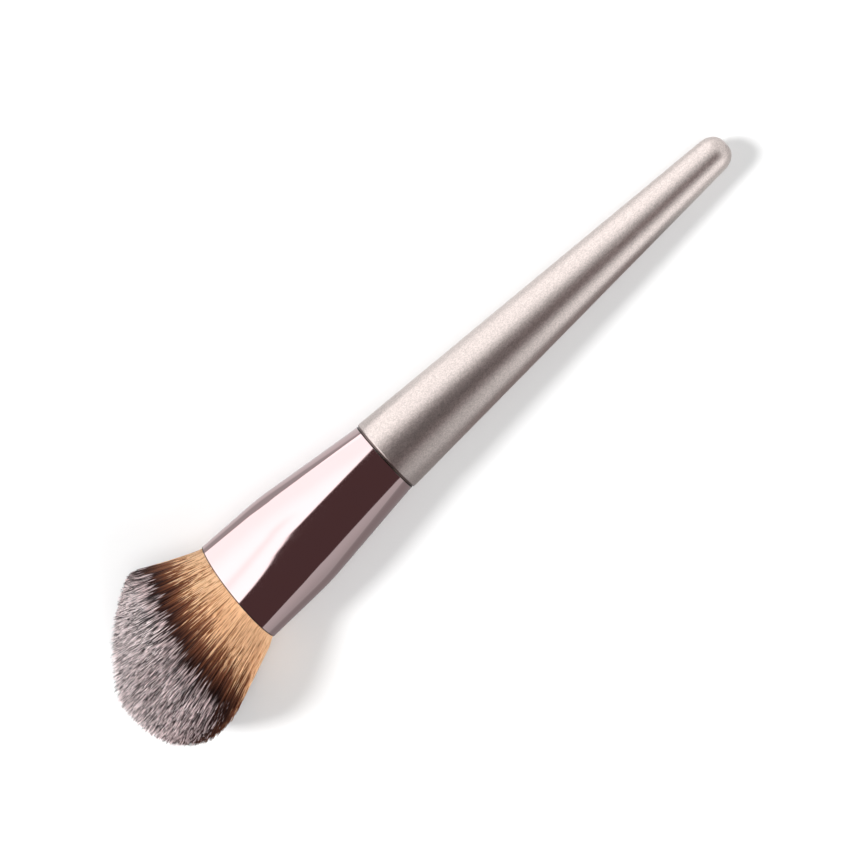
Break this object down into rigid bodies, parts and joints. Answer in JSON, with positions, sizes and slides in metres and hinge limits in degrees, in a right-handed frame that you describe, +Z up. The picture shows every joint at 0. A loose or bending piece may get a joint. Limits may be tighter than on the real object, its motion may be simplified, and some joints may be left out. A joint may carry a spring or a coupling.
{
  "type": "foundation brush",
  "caption": "Slanted dome-head cosmetics brush: tapered satin handle, polished ferrule pressed from round to oval, and a dense flared tuft with tan, dark and pale bands.",
  "frame": {"origin": "on the table, under the middle of the box round the brush as it lies at rest on its broad side", "axes": "+X towards the handle's tail, +Y towards the short side of the slanted tuft, +Z up through the broad side; the brush's own axis slopes 2.3 degrees down towards the tail, as it does on a table"},
  "size_m": [0.1804, 0.0406, 0.0237],
  "materials": {
    "lacquered_wood": "turned wood under satin champagne-grey metallic lacquer with a fine sparkle",
    "polished_aluminium": "pressed, mirror-polished and anodised pinkish grey",
    "synthetic_hair": "fine tapered filaments dyed tan, dark brown and lilac grey from root to tip",
    "resin": "hard amber epoxy around the hair roots",
    "thread": "wound binding thread",
    "glue": "hardened glue"
  },
  "bodies": {
    "root": {"handle": "lacquered_wood", "ferrule": "polished_aluminium", "bristles": "synthetic_hair", "root_resin": "resin", "root_thread": "thread", "tenon_glue_1": "glue", "tenon_glue_2": "glue"}
  },
  "joints": []
}
